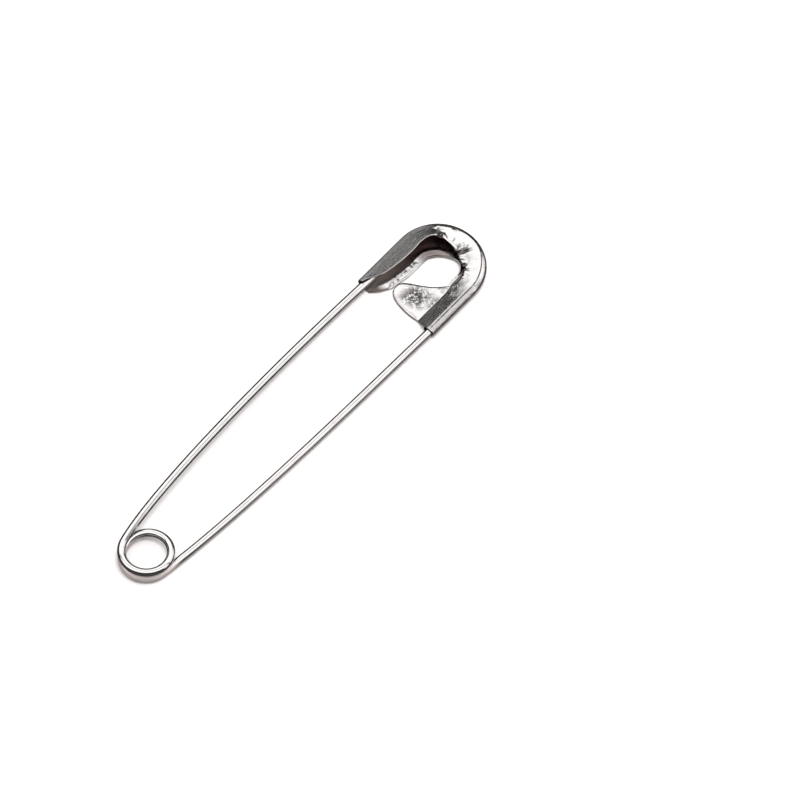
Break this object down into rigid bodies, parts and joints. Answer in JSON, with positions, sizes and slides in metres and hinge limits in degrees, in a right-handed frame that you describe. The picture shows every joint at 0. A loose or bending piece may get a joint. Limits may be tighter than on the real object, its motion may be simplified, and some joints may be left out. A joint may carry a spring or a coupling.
{
  "type": "safety pin",
  "caption": "Large slim safety pin, closed: wire with a coil at one end, and a folded sheet cap with an open hook and a guard tongue at the other.",
  "frame": {"origin": "middle of the bounding box at the bottom: on the surface that the pin lies on, under the middle of its length and width", "axes": "+X from the coil to the cap, +Y from the fixed arm to the pointed arm, +Z out of the front face, where the guard tongue shows"},
  "size_m": [0.076, 0.0144, 0.0032],
  "materials": {
    "wire_plating": "bright nickel plating on drawn steel wire, with fine lengthwise draw marks",
    "cap_plating": "bright nickel plating on pressed steel sheet, with scuffs and creases from the pressing"
  },
  "bodies": {
    "frame": {"cap": "cap_plating", "fixed_arm": "wire_plating", "spring_coil": "wire_plating"},
    "arm_root": {"arm_root": "wire_plating"},
    "pin_arm": {"pin_arm": "wire_plating"}
  },
  "joints": [
    {"name": "arm_sweep", "type": "hinge", "parent": "frame", "child": "arm_root", "pos_m": [-0.02853, 0.00456, 0.0025], "axis": [-0.9993, -0.0288, 0.0254], "range_deg": [0, 168]},
    {"name": "arm_flex", "type": "hinge", "parent": "arm_root", "child": "pin_arm", "pos_m": [-0.02853, 0.00456, 0.0025], "axis": [-0.0188, -0.2085, -0.9778], "range_deg": [0, 18], "stiffness_Nm_per_rad": 0.24}
  ]
}
